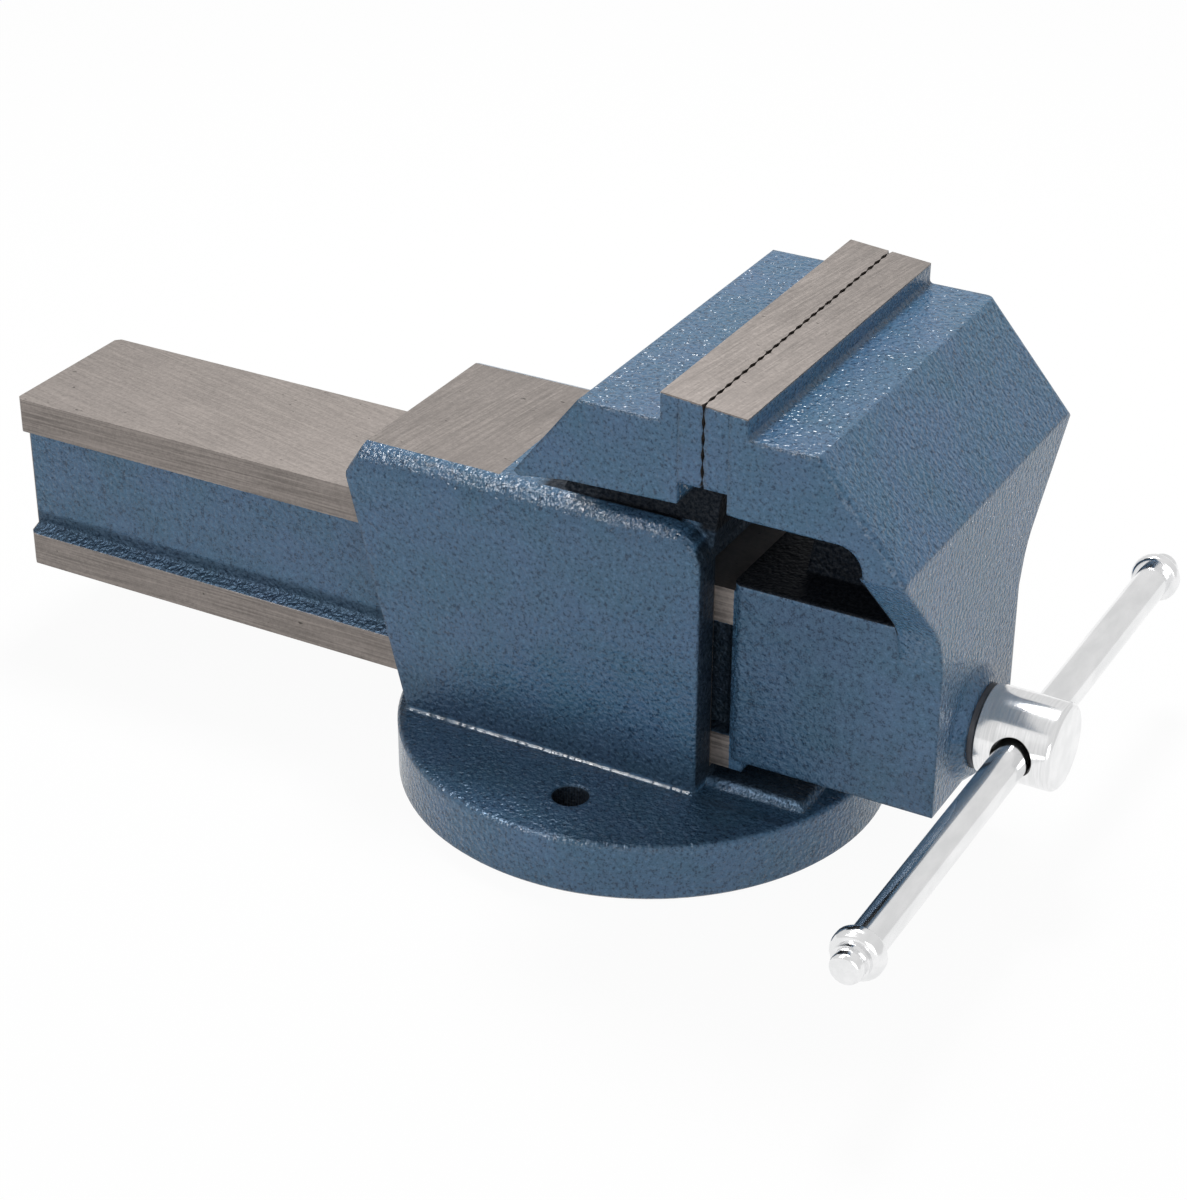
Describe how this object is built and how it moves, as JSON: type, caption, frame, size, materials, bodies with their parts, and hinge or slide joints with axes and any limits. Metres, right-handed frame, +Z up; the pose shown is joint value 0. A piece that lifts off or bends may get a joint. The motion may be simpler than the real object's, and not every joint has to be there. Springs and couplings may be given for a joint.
{
  "type": "bench vise",
  "caption": "Fixed-base bench vise with a round bolt-down base, a square slide, serrated jaws, an anvil behind the jaw and a screw turned by a sliding tommy bar.",
  "frame": {"origin": "centre of the round base, on its underside", "axes": "+X along the slide towards the handle, +Y across the jaws, +Z up"},
  "size_m": [0.4371, 0.304, 0.1977],
  "materials": {
    "hammer_enamel": "blue hammertone enamel on cast iron, bare machined faces",
    "ground_steel": "hardened, ground on top",
    "dark_steel": "blackened, oiled",
    "chrome_plate": "bright chrome plate",
    "nut_iron": "machined grey iron"
  },
  "bodies": {
    "body": {"fixed_body": "hammer_enamel", "fixed_jaw_plate": "ground_steel", "fixed_jaw_screws": "dark_steel", "screw_nut": "nut_iron", "nut_bolts": "dark_steel", "nut_bolt_washers": "dark_steel"},
    "moving_jaw": {"moving_jaw": "hammer_enamel", "moving_jaw_plate": "ground_steel", "moving_jaw_screws": "dark_steel"},
    "screw": {"lead_screw": "chrome_plate", "thrust_washer": "dark_steel", "spring_washer": "dark_steel", "take_up_spring": "dark_steel", "retaining_collar": "dark_steel", "collar_pin": "dark_steel", "end_stop_washer": "dark_steel", "end_stop_pin": "dark_steel"},
    "handle": {"handle_bar": "chrome_plate", "handle_knob_near": "chrome_plate", "handle_knob_far": "chrome_plate"}
  },
  "joints": [
    {"name": "jaw_slide", "type": "slide", "parent": "body", "child": "moving_jaw", "axis": [1, 0, 0], "range_m": [0, 0.16]},
    {"name": "screw_turn", "type": "hinge", "parent": "moving_jaw", "child": "screw", "pos_m": [0, 0, 0.0568], "axis": [1, 0, 0], "range_deg": [0, 11520]},
    {"name": "handle_slide", "type": "slide", "parent": "screw", "child": "handle", "axis": [0, 1, 0], "range_m": [-0.117, 0.126]}
  ],
  "couplings": [
    {"joint": "jaw_slide", "follows": "screw_turn", "m_per_rad": 0.00079577}
  ]
}
